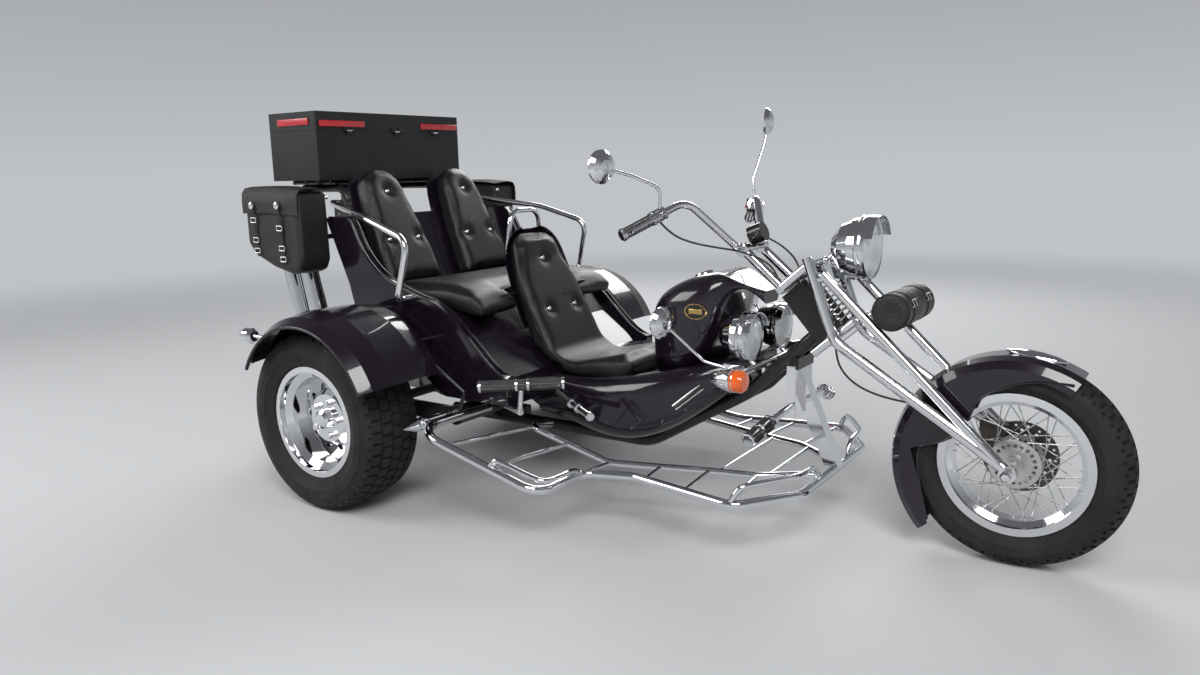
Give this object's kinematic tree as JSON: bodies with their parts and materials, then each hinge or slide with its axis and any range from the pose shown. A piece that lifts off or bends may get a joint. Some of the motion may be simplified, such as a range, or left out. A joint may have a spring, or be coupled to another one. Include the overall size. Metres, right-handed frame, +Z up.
{
  "type": "motorized trike",
  "caption": "Three-wheeled motor trike with a long raked fork, wide rear wheels, low driver's seat, raised rear seats and a rear engine.",
  "frame": {"origin": "on the ground under the middle of the whole length and width", "axes": "+X forward, +Y to the rider's left, +Z up"},
  "size_m": [3.258, 1.88, 1.488],
  "materials": {
    "tyre": "matte",
    "chrome": "polished",
    "spoke_steel": "satin",
    "disc_steel": "drilled, dark",
    "frame_black": "satin",
    "body_paint": "high gloss, dark metallic",
    "seat_leather": "smooth",
    "bag_leather": "grained",
    "trunk_coat": "fine powder coat",
    "engine_alloy": "cast",
    "gearbox_alloy": "cast",
    "fan_black": "gloss",
    "cast_black": "rough",
    "plate": "blank",
    "lamp_orange": "clear",
    "rubber_hose": "matte"
  },
  "bodies": {
    "chassis": {"beam_end_spears": "chrome", "body_shell": "body_paint", "drive_shafts": "cast_black", "driver_seat": "seat_leather", "engine_block": "engine_alloy", "exhaust": "chrome", "fan_housing": "fan_black", "foot_pegs": "chrome", "footboard_inner": "chrome", "footboard_outer": "chrome", "footboard_rungs": "chrome", "front_down_tube": "chrome", "front_indicators": "lamp_orange", "front_lamps": "chrome", "fuel_tank": "body_paint", "gearbox": "gearbox_alloy", "luggage_rack": "frame_black", "main_frame": "frame_black", "number_plate": "plate", "rear_axle_beam": "frame_black", "rear_fender_left": "body_paint", "rear_fender_right": "body_paint", "rear_seat_backs": "seat_leather", "rear_seat_cushion": "seat_leather", "saddlebags": "bag_leather", "seat_rails": "chrome", "tail_lamps": "chrome", "trunk_box": "trunk_coat"},
    "trunk_lid": {"trunk_lid": "trunk_coat"},
    "steering": {"brake_hose": "rubber_hose", "fork_legs": "chrome", "fork_springs": "chrome", "fork_yokes": "chrome", "front_axle": "chrome", "front_caliper": "cast_black", "front_fender": "body_paint", "hand_controls": "chrome", "handlebar": "chrome", "headlamp": "chrome", "lever_cables": "rubber_hose", "speedometer": "fan_black", "tool_roll": "bag_leather", "upper_mirrors": "chrome"},
    "front_wheel": {"brake_disc": "disc_steel", "front_hub": "chrome", "front_rim": "chrome", "front_spokes": "spoke_steel", "front_tyre": "tyre"},
    "rear_wheel_right": {"rear_drum_right": "cast_black", "rear_tyre_right": "tyre", "rear_wheel_right": "chrome"},
    "rear_wheel_left": {"rear_drum_left": "cast_black", "rear_tyre_left": "tyre", "rear_wheel_left": "chrome"}
  },
  "joints": [
    {"name": "steering", "type": "hinge", "parent": "chassis", "child": "steering", "pos_m": [0.676, 0, 0.762], "axis": [-0.6561, 0, 0.7547], "range_deg": [-30, 30]},
    {"name": "front_spin", "type": "hinge", "parent": "steering", "child": "front_wheel", "pos_m": [1.306, 0, 0.323], "axis": [0, 1, 0], "continuous": true},
    {"name": "rear_right_spin", "type": "hinge", "parent": "chassis", "child": "rear_wheel_right", "pos_m": [-0.929, -0.75, 0.338], "axis": [0, 1, 0], "continuous": true},
    {"name": "rear_left_spin", "type": "hinge", "parent": "chassis", "child": "rear_wheel_left", "pos_m": [-0.929, 0.75, 0.338], "axis": [0, 1, 0], "continuous": true},
    {"name": "lid_hinge", "type": "hinge", "parent": "chassis", "child": "trunk_lid", "pos_m": [-1.321, 0, 1.412], "axis": [0, 1, 0], "range_deg": [0, 80]}
  ]
}
